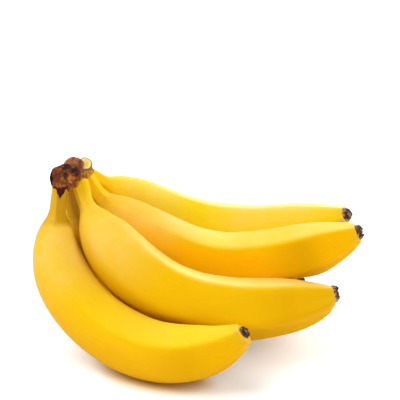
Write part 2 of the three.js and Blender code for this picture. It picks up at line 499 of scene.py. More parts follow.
def effect(
    name: str,
    inputs: Sequence[Socket],
    outputs: Sequence[Socket],
    wire: Callable[[Wiring, Wires], Wires],
) -> bpy.types.NodeTree:
    """Make a shared effect: a group of shader nodes with named inputs and outputs.

    Args:
        name: The effect's name.
        inputs: Its inputs.
        outputs: Its outputs.
        wire: Fills the group. It gets the inputs by name and returns the outputs by name.

    Returns:
        The group.
    """
    tree = bpy.data.node_groups.new(name, "ShaderNodeTree")
    for socket, way in [(s, "INPUT") for s in inputs] + [(s, "OUTPUT") for s in outputs]:
        made = tree.interface.new_socket(name=socket.name, in_out=way, socket_type=socket.kind)
        if socket.value is not None:
            made.default_value = socket.value
    wiring = Wiring(tree)
    entry = wiring.add("NodeGroupInput")
    leave = wiring.add("NodeGroupOutput")
    results = wire(wiring, {socket.name: entry.outputs[socket.name] for socket in inputs})
    for label, result in results.items():
        tree.links.new(result, leave.inputs[label])
    return tree


class Effects:
    """The effects that several finishes share, each built once."""

    def __init__(self) -> None:
        """Build the three effects."""
        place = Socket("Place", "NodeSocketVector", (0.0, 0.0, 0.0))
        self.fibres = effect(
            "fibres",
            [place, Socket("Scale", value=1.0), Socket("Stretch", "NodeSocketVector", (1.0, 1.0, 1.0))],
            [Socket("Mask"), Socket("Height")],
            self._fibres,
        )
        self.specks = effect(
            "specks",
            [place, Socket("Scale", value=1.0), Socket("Size", value=0.2), Socket("Share", value=0.5)],
            [Socket("Mask")],
            self._specks,
        )
        self.mottle = effect(
            "mottle",
            [place, Socket("Scale", value=1.0), Socket("Contrast", value=1.0)],
            [Socket("Mask")],
            self._mottle,
        )

    @staticmethod
    def _fibres(wiring: Wiring, given: Wires) -> Wires:
        """Wire fine strands that run where the stretch is small.

        Args:
            wiring: The wiring of the effect's tree.
            given: The effect's inputs, by name.

        Returns:
            The strands as a mask and as a height.
        """
        place = wiring.vector("MULTIPLY", given["Place"], given["Stretch"])
        coarse = wiring.noise(place, given["Scale"], 5.0, 0.6, 0.4)
        fine = wiring.noise(place, wiring.times(given["Scale"], 3.1), 3.0, 0.5)
        both = wiring.math("ADD", wiring.times(coarse, 0.65), wiring.times(fine, 0.35))
        return {"Mask": wiring.span(both, 0.38, 0.62), "Height": both}

    @staticmethod
    def _specks(wiring: Wiring, given: Wires) -> Wires:
        """Wire small round spots in a share of the cells that the surface is divided into.

        Args:
            wiring: The wiring of the effect's tree.
            given: The effect's inputs, by name.

        Returns:
            The spots as a mask.
        """
        cells = wiring.add("ShaderNodeTexVoronoi", feature="F1")
        wiring.put(cells.inputs["Vector"], given["Place"])
        wiring.put(cells.inputs["Scale"], given["Scale"])
        near = wiring.math("SUBTRACT", given["Size"], cells.outputs["Distance"])
        dot = wiring.math("DIVIDE", near, given["Size"], clamp=True)
        pick = wiring.add("ShaderNodeSeparateColor")
        wiring.put(pick.inputs[0], cells.outputs["Color"])
        chosen = wiring.math("LESS_THAN", pick.outputs[0], given["Share"])
        return {"Mask": wiring.times(wiring.span(dot, 0.0, 0.6), chosen)}

    @staticmethod
    def _mottle(wiring: Wiring, given: Wires) -> Wires:
        """Wire large soft patches.

        Args:
            wiring: The wiring of the effect's tree.
            given: The effect's inputs, by name.

        Returns:
            The patches as a mask.
        """
        cloud = wiring.noise(given["Place"], given["Scale"], 3.0, 0.5, 0.3)
        away = wiring.times(wiring.math("SUBTRACT", cloud, 0.5), given["Contrast"])
        return {"Mask": wiring.math("ADD", away, 0.5, clamp=True)}


def start_material(name: str) -> tuple[bpy.types.Material, Wiring, bpy.types.Node]:
    """Make an empty material.

    Args:
        name: The material's name.

    Returns:
        The material, the wiring of its tree and its surface shader.
    """
    material = bpy.data.materials.new(name)
    material.use_nodes = True
    wiring = Wiring(material.node_tree)
    shader = material.node_tree.nodes["Principled BSDF"]
    return material, wiring, shader


def bump(wiring: Wiring, shader: bpy.types.Node, height: object, depth: float) -> None:
    """Let a height, in units of depth metres, tilt the surface.

    Args:
        wiring: The wiring of the material's tree.
        shader: Its surface shader.
        height: The height.
        depth: What a height of 1 stands for, in metres.
    """
    node = wiring.add("ShaderNodeBump")
    wiring.put(node.inputs["Strength"], 1.0)
    wiring.put(node.inputs["Distance"], depth)
    wiring.put(node.inputs["Height"], height)
    wiring.tree.links.new(node.outputs[0], shader.inputs["Normal"])


# ---- finishes -----------------------------------------------------------------------------------


@dataclass(frozen=True)
class Peel:
    """The ripe peel: waxy yellow and streaked at the neck, with painted highlight where it faces the light
    and painted shade where it faces away.
    """

    bright: Colour = (0.74, 0.445, 0.002)
    golden: Colour = (0.72, 0.39, 0.0015)
    # painted shade: the deeper orange of faces turned away from the light
    warm: Colour = (0.90, 0.43, 0.0015)
    # a paler yellow: partly a fruit's own paler tone, partly a painted highlight on faces turned to the
    # light
    lemon: Colour = (0.80, 0.59, 0.010)
    # painted highlight: the pale tone of faces turned to the light
    bloom: Colour = (0.78, 0.54, 0.165)
    # painted shade on the nose's faces turned away from the light and on the body's low side
    dusky_shade: Colour = (0.62, 0.31, 0.0015)
    shade: Colour = (0.42, 0.21, 0.0015)
    # painted crevice shade: the deep orange where two fruits nearly touch
    crevice_shade: Colour = (0.90, 0.43, 0.004)
    peach: Colour = (0.64, 0.36, 0.075)
    # a duller tone painted on the shoulder's faces turned to the light, damping the painted highlight
    # there
    tawny: Colour = (0.70, 0.385, 0.045)
    fresh: Colour = (0.94, 0.57, 0.004)
    # partly the neck's own ochre, partly painted shade on its side turned aside and in the crease between
    # necks
    ochre: Colour = (0.48, 0.25, 0.006)
    green: Colour = (0.52, 0.40, 0.03)
    ridge: Colour = (0.60, 0.28, 0.003)
    brown: Colour = (0.20, 0.075, 0.012)
    freckle: Colour = (0.26, 0.10, 0.02)
    tan: Colour = (0.50, 0.28, 0.13)
    roughness: float = 0.42
    gloss: float = 0.12
    gloss_tint: Colour = (1.0, 0.7, 0.02)
    glow_through: float = 0.1  # how much of the light spreads under the skin
    glow_radius: Colour = (1.0, 0.5, 0.1)
    glow_scale: float = 0.004  # in metres, as the relief is
    relief: float = 0.00012

    def make(self, effects: Effects) -> bpy.types.Material:
        """Return the material.

        Args:
            effects: The shared effects.

        Returns:
            The material.
        """
        material, wiring, shader = start_material("ripe_peel")
        place = wiring.layer("peel_place", "Vector")
        along = wiring.layer("along")
        ridge = wiring.layer("ridge")
        patches = wiring.mask(effects.mottle, Place=place, Scale=0.035, Contrast=2.2)
        strands = wiring.group(effects.fibres, Place=place, Scale=0.9, Stretch=(0.08, 1.0, 1.0))
        colour = wiring.mix(patches, self.bright, self.golden)
        # Painted shade: a deeper orange on faces turned away from the light.
        colour = wiring.mix(wiring.layer("warm"), colour, self.warm)
        # Paler yellow: partly the fruit's own tone, partly a painted highlight on faces turned to the
        # light and off the low side.
        colour = wiring.mix(wiring.layer("lemon"), colour, self.lemon)
        colour = wiring.mix(wiring.times(strands.outputs["Mask"], 0.14), colour, self.ridge)
        colour = wiring.mix(wiring.times(ridge, 0.15), colour, self.ridge)
        # Painted highlight: a pale tone, broken into clouds, on faces turned to the light and on the
        # shoulders.
        clouds = wiring.mask(effects.mottle, Place=place, Scale=0.11, Contrast=1.8)
        pale = wiring.times(wiring.layer("bloom"), wiring.span(clouds, 0.0, 1.0, 0.42, 0.95))
        colour = wiring.mix(pale, colour, self.bloom)
        # The duller tawny on upturned shoulder faces damps the painted highlight there.
        dulled_top = wiring.times(wiring.layer("tawny"), wiring.span(clouds, 0.0, 1.0, 1.0, 0.75))
        colour = wiring.mix(dulled_top, colour, self.tawny)
        colour = wiring.mix(wiring.times(wiring.layer("under"), 0.3), colour, self.shade)
        # Painted crevice shade: deep orange where the fruit nearly touches the next.
        colour = wiring.mix(wiring.times(wiring.layer("close"), 0.45), colour, self.crevice_shade)
        colour = self.neck(wiring, effects, place, along, colour)
        colour = self.nose(wiring, effects, place, along, colour)
        specks = wiring.mask(effects.specks, Place=place, Scale=0.16, Size=0.09, Share=0.28)
        colour = wiring.mix(wiring.times(specks, 0.15), colour, self.freckle)
        torn = wiring.noise(place, 0.5, 4.0, 0.6)
        edge = wiring.span(along, 0.004, -0.01)
        burnt = wiring.span(wiring.math("ADD", edge, wiring.times(torn, 0.8)), 0.85, 1.25)
        colour = wiring.mix(burnt, colour, self.brown)
        wiring.put(shader.inputs["Base Color"], colour)
        rough = wiring.math("ADD", self.roughness, wiring.times(burnt, 0.35))
        rough = wiring.math("ADD", rough, wiring.times(strands.outputs["Mask"], 0.06))
        shaded = wiring.math("MAXIMUM", wiring.layer("under"), wiring.layer("close"))
        shaded = wiring.math("MAXIMUM", shaded, wiring.span(along, 0.35, 0.15))
        rough = wiring.math("ADD", rough, wiring.times(shaded, 0.5), clamp=True)
        wiring.put(shader.inputs["Roughness"], rough)
        shader.inputs["Specular IOR Level"].default_value = self.gloss
        shader.inputs["Specular Tint"].default_value = (*self.gloss_tint, 1.0)
        shader.inputs["Subsurface Weight"].default_value = self.glow_through
        shader.inputs["Subsurface Radius"].default_value = self.glow_radius
        shader.inputs["Subsurface Scale"].default_value = self.glow_scale
        bump(wiring, shader, wiring.math("ADD", strands.outputs["Height"], specks), self.relief)
        return material

    def neck(
        self, wiring: Wiring, effects: Effects, place: object, along: object, colour: object
    ) -> Wire:
        """Return the colour with what runs down the neck: fresh yellow, ochre, peach and green streaks.

        Where two necks meet, the crease between them gets a painted ochre shade.

        Args:
            wiring: The wiring of the material's tree.
            effects: The shared effects.
            place: Where each spot is in the peel's patterns.
            along: The share of the fruit's length.
            colour: The colour so far.

        Returns:
            The colour with the neck's streaks.
        """
        streaks = wiring.mask(effects.fibres, Place=place, Scale=0.42, Stretch=(0.04, 1.0, 1.0))
        ochre = wiring.layer("ochre")
        # Fresh yellow, weaker on faces turned to the light, which leaves them paler as a painted
        # highlight.
        fresh = wiring.times(wiring.layer("fresh"), wiring.span(streaks, 0.35, 0.75, 1.0, 0.3))
        colour = wiring.mix(fresh, colour, self.fresh)
        # Painted shade: ochre in the crease where two necks nearly touch.
        crease = wiring.times(wiring.layer("close"), wiring.span(along, 0.3, 0.15, 0.0, 1.0))
        colour = wiring.mix(crease, colour, self.ochre)
        # Ochre: partly the neck's own colour, partly painted shade on the side turned aside.
        colour = wiring.mix(ochre, colour, self.ochre)
        lines = wiring.times(wiring.span(ochre, 0.0, 0.5), wiring.span(streaks, 0.3, 0.8, 0.0, 0.6))
        lines = wiring.times(lines, wiring.span(ochre, 1.0, 0.55, 0.15, 1.0))
        colour = wiring.mix(lines, colour, self.peach)
        green = wiring.times(wiring.span(along, 0.17, 0.05), wiring.span(streaks, 0.4, 0.1, 0.0, 0.2))
        return wiring.mix(green, colour, self.green)

    def nose(
        self, wiring: Wiring, effects: Effects, place: object, along: object, colour: object
    ) -> Wire:
        """Return the colour with the nose's painted shade and its tan scars next to the blossom end.

        Args:
            wiring: The wiring of the material's tree.
            effects: The shared effects.
            place: Where each spot is in the peel's patterns.
            along: The share of the fruit's length.
            colour: The colour so far.

        Returns:
            The colour with the nose's tones.
        """
        # Painted shade: dusky on the nose's faces turned away from the light and on the low side of the
        # body.
        colour = wiring.mix(wiring.layer("nose"), colour, self.dusky_shade)
        colour = wiring.mix(wiring.span(along, 0.96, 1.0, 0.0, 0.15), colour, self.green)
        blots = wiring.mask(effects.mottle, Place=place, Scale=0.3, Contrast=3.0)
        scar = wiring.times(wiring.span(along, 0.988, 1.0, 0.0, 0.4), wiring.span(blots, 0.5, 0.95))
        return wiring.mix(scar, colour, self.tan)


@dataclass(frozen=True)
class DryTissue:
    """Dried stem tissue: fibrous red-brown, charred on its rims, orange where it is thin."""

    brown: Colour = (0.155, 0.033, 0.008)
    light: Colour = (0.42, 0.115, 0.026)
    orange: Colour = (0.48, 0.17, 0.018)
    pink: Colour = (0.54, 0.23, 0.11)
    red: Colour = (0.20, 0.036, 0.014)
    olive: Colour = (0.11, 0.055, 0.014)
    gold: Colour = (0.66, 0.37, 0.012)
    yellow: Colour = (0.72, 0.43, 0.015)
    char: Colour = (0.026, 0.014, 0.014)
    rim: Colour = (0.014, 0.007, 0.006)
    lobe: Colour = (0.46, 0.21, 0.13)
    flap: Colour = (0.055, 0.009, 0.013)
    roughness: float = 0.8
    gloss: float = 0.05
    relief: float = 0.0007  # in metres

    def make(self, effects: Effects) -> bpy.types.Material:
        """Return the material.

        Args:
            effects: The shared effects.

        Returns:
            The material.
        """
        material, wiring, shader = start_material("dry_tissue")
        place = wiring.layer("crown_place", "Vector")
        strands = wiring.group(effects.fibres, Place=place, Scale=0.75, Stretch=(1.0, 1.0, 0.5))
        blots = wiring.mask(effects.mottle, Place=place, Scale=0.6, Contrast=3.5)
        colour = wiring.mix(strands.outputs["Mask"], self.brown, self.light)
        above = wiring.mix(strands.outputs["Mask"], self.light, self.lobe)
        colour = wiring.mix(wiring.layer("lobe"), colour, above)
        for tone in ("olive", "red", "orange", "pink", "gold"):
            share = wiring.times(wiring.layer(tone), wiring.span(blots, 0.1, 0.6, 0.45, 1.0))
            colour = wiring.mix(share, colour, getattr(self, tone))
        pits = wiring.times(wiring.layer("pit"), 0.5)
        colour = wiring.mix(pits, colour, self.char)
        colour = wiring.mix(wiring.layer("yellow"), colour, self.yellow)
        colour = wiring.mix(wiring.layer("char"), colour, self.char)
        colour = wiring.mix(wiring.layer("flap"), colour, self.flap)
        colour = wiring.mix(wiring.layer("rim"), colour, self.rim)
        wiring.put(shader.inputs["Base Color"], colour)
        shader.inputs["Roughness"].default_value = self.roughness
        shader.inputs["Specular IOR Level"].default_value = self.gloss
        bump(wiring, shader, strands.outputs["Height"], self.relief)
        return material


@dataclass(frozen=True)
class BlossomBark:
    """The dry remains of the flower: brown, near black on its tips, flecked pink and grey."""

    dark: Colour = (0.050, 0.020, 0.014)
    brown: Colour = (0.17, 0.07, 0.035)
    pink: Colour = (0.50, 0.29, 0.21)
    fleck: Colour = (0.70, 0.58, 0.55)
    tip: Colour = (0.018, 0.009, 0.008)
    core: Colour = (0.33, 0.27, 0.19)
    roughness: float = 0.88
    gloss: float = 0.15
    relief: float = 0.0006  # in metres

    def make(self, effects: Effects) -> bpy.types.Material:
        """Return the material.

        Args:
            effects: The shared effects.

        Returns:
            The material.
        """
        material, wiring, shader = start_material("blossom_bark")
        place = wiring.layer("bark_place", "Vector")
        strands = wiring.group(effects.fibres, Place=place, Scale=1.0, Stretch=(0.5, 1.0, 1.0))
        blots = wiring.mask(effects.mottle, Place=place, Scale=0.55, Contrast=4.0)
        colour = wiring.mix(strands.outputs["Mask"], self.dark, self.brown)
        colour = wiring.mix(wiring.times(wiring.span(blots, 0.5, 0.9), 0.85), colour, self.pink)
        colour = wiring.mix(wiring.times(wiring.layer("core"), 0.8), colour, self.core)
        flecks = wiring.mask(effects.specks, Place=place, Scale=0.8, Size=0.4, Share=0.4)
        colour = wiring.mix(wiring.times(flecks, 0.7), colour, self.fleck)
        colour = wiring.mix(wiring.times(wiring.layer("tip"), 0.72), colour, self.tip)
        wiring.put(shader.inputs["Base Color"], colour)
        shader.inputs["Roughness"].default_value = self.roughness
        shader.inputs["Specular IOR Level"].default_value = self.gloss
        bump(wiring, shader, strands.outputs["Height"], self.relief)
        return material


@dataclass(frozen=True)
class CutFlesh:
    """The pale cut through a stem, drying at its edge."""

    pale: Colour = (0.58, 0.47, 0.025)
    cream: Colour = (0.74, 0.56, 0.19)
    olive: Colour = (0.15, 0.11, 0.012)
    brown: Colour = (0.22, 0.10, 0.03)
    roughness: float = 0.55
    relief: float = 0.0003  # in metres

    def make(self, effects: Effects) -> bpy.types.Material:
        """Return the material.

        Args:
            effects: The shared effects.

        Returns:
            The material.
        """
        material, wiring, shader = start_material("cut_flesh")
        place = wiring.layer("stub_place", "Vector")
        strands = wiring.group(effects.fibres, Place=place, Scale=1.1, Stretch=(1.0, 1.0, 0.1))
        fibrous = wiring.times(strands.outputs["Mask"], 0.35)
        share = wiring.math("ADD", wiring.layer("ring"), fibrous, clamp=True)
        colour = wiring.mix(share, self.pale, self.cream)
        colour = wiring.mix(wiring.layer("rim"), colour, self.olive)
        dried = wiring.times(wiring.layer("skin"), strands.outputs["Mask"])
        colour = wiring.mix(dried, colour, self.brown)
        wiring.put(shader.inputs["Base Color"], colour)
        shader.inputs["Roughness"].default_value = self.roughness
        bump(wiring, shader, strands.outputs["Height"], self.relief)
        return material


# ---- the fruits -----------------------------------------------------------------------------------


@dataclass(frozen=True)
class Swell:
    """A place on a fruit where it is fuller, or pressed in: shares of the length, a side, a height."""

    rise: tuple[float, float]
    fall: tuple[float, float]
    angle: float
    height: float

    def height_at(self, share: float, angle: float) -> float:
        """Return how far the skin stands out, in millimetres.

        Args:
            share: The share of the length.
            angle: Where on the section, in degrees from the inner side.

        Returns:
            The height, below 0 where the skin is pressed in.
        """
        facing = max(0.0, math.cos(math.radians(angle - self.angle))) ** 2
        rising = smoothstep(*self.rise, share)
        return self.height * facing * rising * smoothstep(self.fall[1], self.fall[0], share)


@dataclass
class Banana:
    """One fruit and the blossom end on its nose.

    Its axis starts at the stem, heads the way that azimuth and dip say, and bends towards its
    inner side by the four curls and towards its left by the sway.
    """

    number: int
    stem: Point
    azimuth: float
    dip: float
    roll: float
    length: float
    girth: float
    curl: tuple[float, float, float, float]
    sway: float
    ridge: float
    edge: float
    blossom: float
    # Per fruit: the paler yellow, partly its own tone and partly painted highlight, and the deeper orange
    # painted as shade on faces turned away.
    lemon: float
    warm: float
    # How strong the painted highlight is: on the upper side past the middle, and on faces turned to the
    # light.
    upper_highlight: float
    bloom: float
    # The neck's ochre: partly its own colour, partly painted shade.
    ochre: float
    # How strongly the painted highlight on the shoulder is dulled.
    tawny: float = 1.0
    swells: tuple[Swell, ...] = (Swell(rise=(0.80, 0.90), fall=(1.1, 1.2), angle=172.0, height=1.0),)
    crease: float = 0.004
    # The way towards the light, which the painted highlight and painted shade follow.
    sunny: Point = (-0.2, 0.35, 0.9)
    # The side on which the neck's ochre is painted as shade.
    aside: Point = (0.85, -0.5, 0.0)
    sides: int = 120
    rings: int = 230
    closing: int = 6  # rings that round off the nose
    crowding: float = 0.35  # how much closer the rings are at both ends
    bumps: tuple[tuple[float, float], ...] = ((0.22, 17.0), (0.06, 5.0))  # their height and size
    lip: float = 0.7  # how far the round end of the nose stands out
    blossom_length: float = 3.9
    blossom_sides: int = 96
    blossom_rings: tuple[int, int] = (24, 18)  # up its wall, and in over its end
    blossom_sunk: float = 1.0  # how far its wall starts inside the nose
    frame: Matrix = field(init=False)
    bend: Stations = field(init=False)

    def __post_init__(self) -> None:
        """Work out where the fruit's own frame is."""
        turn = Euler((math.radians(self.roll), math.radians(self.dip), math.radians(self.azimuth)), "XYZ")
        self.frame = Matrix.Translation(self.stem) @ turn.to_matrix().to_4x4()
        self.bend = Stations([(end, sum(self.curl[:i])) for i, end in enumerate(CURL_ENDS)])

    def tangent(self, share: float) -> Vector:
        """Return the way the axis heads at a share of the length, in the fruit's own frame.

        Args:
            share: The share of the length.

        Returns:
            The tangent, one unit long.
        """
        up = math.radians(self.bend(share))
        left = math.radians(self.sway * min(max(share, 0.0), 1.0))
        return Vector((math.cos(up) * math.cos(left), math.sin(left), math.sin(up) * math.cos(left)))

    def axis(self, shares: Sequence[float]) -> list[Station]:
        """Return the stations of the axis at rising shares of the length.

        Args:
            shares: The shares, in rising order.

        Returns:
            The stations, one for each share, in the fruit's own frame.
        """
        steps = 4
        point = Vector((0.0, 0.0, 0.0))
        point += self.tangent(shares[0] / 2) * shares[0] * self.length
        stations = []
        before = shares[0]
        for share in shares:
            for i in range(steps):
                middle = before + (share - before) * (i + 0.5) / steps
                point = point + self.tangent(middle) * (share - before) * self.length / steps
            tangent = self.tangent(share)
            inner = Vector((-tangent.z, 0.0, tangent.x)).normalized()
            stations.append((point.copy(), tangent, inner, inner.cross(tangent)))
            before = share
        return stations

    def ridge_nearness(self, angle: float) -> float:
        """Return 1 on a ridge and 0 away from it, for an angle in degrees."""
        away = (angle - self.ridge + RIDGE_STEP / 2) % RIDGE_STEP - RIDGE_STEP / 2
        return math.exp(-((away / RIDGE_WIDTH) ** 2))

    def skin(self, share: float, angle: float) -> float:
        """Return how far the skin is from the axis at a share of the length and an angle.

        Args:
            share: The share of the length.
            angle: Where on the section, in degrees from the inner side.

        Returns:
            The distance in millimetres.
        """
        shows = RIDGE_SHOWS(share)
        shape = 1 + shows * (section(angle, self.ridge, self.edge) - 1)
        crease = self.crease * shows * smoothstep(0.25, 0.45, share) * self.ridge_nearness(angle)
        swollen = sum(swell.height_at(share, angle) for swell in self.swells)
        return self.girth * GIRTH(share) * (shape + crease) + swollen

    def build_peel(self, finish: bpy.types.Material) -> bpy.types.Object:
        """Return the fruit's skin as one closed mesh.

        Args:
            finish: The peel's material.

        Returns:
            The finished piece.
        """
        start = -STEM_IN_CROWN / self.length
        shares = []
        for r in range(self.rings):
            t = r / (self.rings - 1)
            crowded = t - self.crowding * math.sin(2 * math.pi * t) / (2 * math.pi)
            shares.append(start + (1 - start) * crowded)
        stations = self.axis(shares)
        tube = Tube(self.sides)
        seed = Vector((40.0 * self.number, 0.0, 0.0))

        def lay(share: float, station: Station, shrink: float, ahead: float) -> None:
            """Lay one ring of points.

            Args:
                share: The share of the length.
                station: The axis there.
                shrink: What the ring's radius is multiplied by.
                ahead: How far the ring is moved along the axis.
            """
            point, tangent, inner, left = station
            middle = point + tangent * ahead
            for s in range(self.sides):
                angle = 360 * s / self.sides
                turn = math.radians(angle)
                radius = self.skin(share, angle)
                out = inner * math.cos(turn) + left * math.sin(turn)
                place = Vector((share * self.length, radius * math.cos(turn), radius * math.sin(turn)))
                swell = sum(height * noise.noise((place + seed) / size) for height, size in self.bumps)
                reach = (radius + swell * smoothstep(0.02, 0.12, share)) * shrink
                ridge = self.ridge_nearness(angle) * RIDGE_SHOWS(share)
                tube.add(self.frame @ (middle + out * reach), place + seed, along=share, ridge=ridge)

        for share, station in zip(shares, stations):
            lay(share, station, 1.0, 0.0)
        for i in range(1, self.closing + 1):
            turn = math.pi / 2 * i / self.closing
            small = self.blossom / (self.girth * GIRTH(1.0))
            lay(1.0, stations[-1], small + (1 - small) * math.cos(turn), self.lip * math.sin(turn))
        for place, station, share, ahead in (
            (tube.places[0], stations[0], shares[0], 0.0),
            (tube.places[-1], stations[-1], 1.0, self.lip),
        ):
            middle = self.frame @ (station[0] + station[1] * ahead)
            tube.add(middle, Vector((place[0], 0.0, 0.0)), along=share, ridge=0.0)
        piece = tube.piece(f"peel_{self.number}", "peel_place", finish)
        for name, values in self.tones(piece, tube.tones["along"]).items():
            paint(piece, name, values)
        self.rest_on_floor(piece)
        return settle(piece, [f"banana_{self.number}"], "peel")

    def lowness(self, piece: bpy.types.Object) -> list[float]:
        """Return how low each corner is on its own section: 0 above the middle, 1 near the bottom.

        Args:
            piece: The peel.

        Returns:
            A number for every corner.
        """
        heights = [corner.co.z / MM for corner in piece.data.vertices]
        lows = []
        for first in range(0, len(heights) - POLES, self.sides):
            ring = heights[first : first + self.sides]
            middle = sum(ring) / self.sides
            lows += [smoothstep(0.65, -0.45, (height - middle) / self.girth) for height in ring]
        return lows + [0.0] * POLES

    def tones(self, piece: bpy.types.Object, along: Sequence[float]) -> dict[str, list[float]]:
        """Return how much of each tone the peel has at each corner, by the way that it faces: most are
        painted highlight or painted shade.

        Args:
            piece: The peel.
            along: The share of the length at each corner.

        Returns:
            A number for every corner, by the tone's name.
        """
        sunny = Vector(self.sunny).normalized()
        aside = Vector(self.aside).normalized()
        names = ("bloom", "tawny", "lemon", "warm", "fresh", "ochre", "nose", "under")
        tones: dict[str, list[float]] = {name: [] for name in names}
        for corner, share, low in zip(piece.data.vertices, along, self.lowness(piece)):
            upward = corner.normal.dot(sunny)
            body = smoothstep(0.104, 0.129, share)
            marked = min(2 * self.ochre, 1.0)
            covered = marked * body + (1 - marked) * smoothstep(0.0, 0.12, share)
            # Painted highlight: pale where the faces turn to the light, on the shoulders, and on the upper
            # side past the middle.
            shoulder = smoothstep(0.45, 0.2, share) * smoothstep(-0.5, 0.3, upward)
            # The tawny tone follows the faces turned to the light, damping the painted highlight on the
            # shoulder.
            tawny = self.tawny * smoothstep(0.5, 0.3, share) * smoothstep(0.35, 0.8, upward) * covered
            bloom = self.bloom * smoothstep(0.35, 0.95, upward)
            upper_lit = self.upper_highlight * (1 - low) ** 3 * smoothstep(-0.7, 0.1, upward)
            bloom += upper_lit * smoothstep(0.42, 0.66, share)
            # Paler yellow on faces turned to the light: partly the fruit's own tone, partly painted
            # highlight.
            lemon = self.lemon * smoothstep(-0.9, 0.1, upward) + 0.25 * smoothstep(0.2, 0.9, upward)
            # Painted shade: the nose's faces turned away from the light, and the low side of the body,
            # turn dusky.
            nose = smoothstep(0.64, 0.86, share) * smoothstep(0.6, -0.1, upward)
            nose *= 1 - 0.7 * self.warm * smoothstep(0.82, 0.92, share)
            nose = min(max(nose, 1.5 * low**2 * body * max(0.8 - self.warm, 0.0)), 1.0)
            tones["bloom"].append(min((bloom + 0.55 * shoulder) * covered, 1.0) * (1 - 0.5 * tawny))
            tones["tawny"].append(tawny)
            tones["lemon"].append(min(lemon, 1.0) * smoothstep(0.0, 0.25, share) * (1 - 0.7 * low))
            # Painted shade: deeper orange on faces turned away from the light.
            tones["warm"].append(self.warm * smoothstep(0.35, -0.25, upward) * body)
            # Fresh yellow on the neck, weaker on faces turned to the light: part of the painted highlight.
            fresh = smoothstep(0.2, 0.1, share) * (0.8 - 0.6 * smoothstep(0.4, 0.9, upward))
            tones["fresh"].append((1 - marked) * fresh)
            # Ochre on the neck, stronger on the side turned aside, where it is painted shade.
            turned = smoothstep(0.1, 0.7, corner.normal.dot(aside))
            tones["ochre"].append(min(self.ochre * (1 + turned), 1.0) * (1 - body))
            tones["nose"].append((1 - self.lemon) * nose)
            tones["under"].append(smoothstep(-0.2, -0.7, corner.normal.z))
        return tones

    @staticmethod
    def rest_on_floor(piece: bpy.types.Object) -> None:
        """Press flat what would sink into the floor.

        Args:
            piece: The peel.
        """
        for corner in piece.data.vertices:
            corner.co.z = max(corner.co.z, 0.0)
        piece.data.update()

    def build_blossom(self, finish: bpy.types.Material) -> bpy.types.Object:
        """Return the ragged dry end as one closed mesh.

        Args:
            finish: Its material.

        Returns:
            The finished piece.
        """
        sides = self.blossom_sides
        wall, inside = self.blossom_rings
        point, tangent, inner, left = self.axis([i / 60 for i in range(61)])[-1]
        profile = Stations([(0, 0.97), (0.3, 0.99), (0.6, 0.92), (0.85, 0.79), (1, 0.6)])
        tube = Tube(sides)
        seed = Vector((13.0 * self.number, 7.0 * self.number, 0.0))
        for r in range(wall + inside):
            out = r < wall
            height = r / (wall - 1) if out else 1.0
            inward = 0.0 if out else (r - wall + 1) / inside
            for s in range(sides):
                turn = 2 * math.pi * s / sides
                way = Vector((0.0, math.cos(turn), math.sin(turn)))
                left_standing = smoothstep(-0.08, 0.08, noise.noise(way * 1.25 + seed))
                tooth = noise.noise(way * 3.1 + seed * 1.7)
                tall = self.blossom_length * (0.82 + 0.2 * left_standing + 0.25 * tooth)
                radius = self.blossom * profile(height) * (1 - 0.93 * inward)
                ragged = 0.35 * noise.noise(way * 2.6 + seed * 2) - 0.15 * height * (1 - left_standing)
                radius += ragged * (1 - inward)
                core = smoothstep(0.45, 0.75, inward)
                sunk = 1.3 * smoothstep(0.0, 0.4, inward) * (0.6 + 0.4 * left_standing) - 0.5 * core
                ahead = -self.blossom_sunk + height * (tall + self.blossom_sunk) - sunk
                place = Vector((ahead, radius * way.y, radius * way.z))
                rough = 0.3 * noise.fractal((place + seed) * 0.9, 0.9, 2.0, 4)
                lift = place + way * rough * (1 - 0.5 * inward) + Vector((rough * inward * 1.5, 0.0, 0.0))
                spot = point + tangent * lift.x + inner * lift.y + left * lift.z
                charred = smoothstep(0.5, 0.85, height) * (1 - smoothstep(0.1, 0.35, inward))
                tube.add(self.frame @ spot, place + seed, tip=charred, core=core)
        for ahead, core in ((-self.blossom_sunk, 0.0), (self.blossom_length * 0.7 - 1.2, 1.0)):
            place = Vector((ahead, 0.0, 0.0)) + seed
            tube.add(self.frame @ (point + tangent * ahead), place, tip=0.0, core=core)
        piece = tube.piece(f"blossom_{self.number}", "bark_place", finish)
        return settle(piece, [f"blossom_end_{self.number}"], "blossom")


# ---- the crown and the stub ---------------------------------------------------------------------


@dataclass(frozen=True)
class Patch:
    """A soft-edged patch of one tone on the crown: its middle, half width and height, and how far back."""

    tone: str
    x: float
    z: float
    width: float
    height: float
    strength: float = 1.0
    depth: float = 9.0


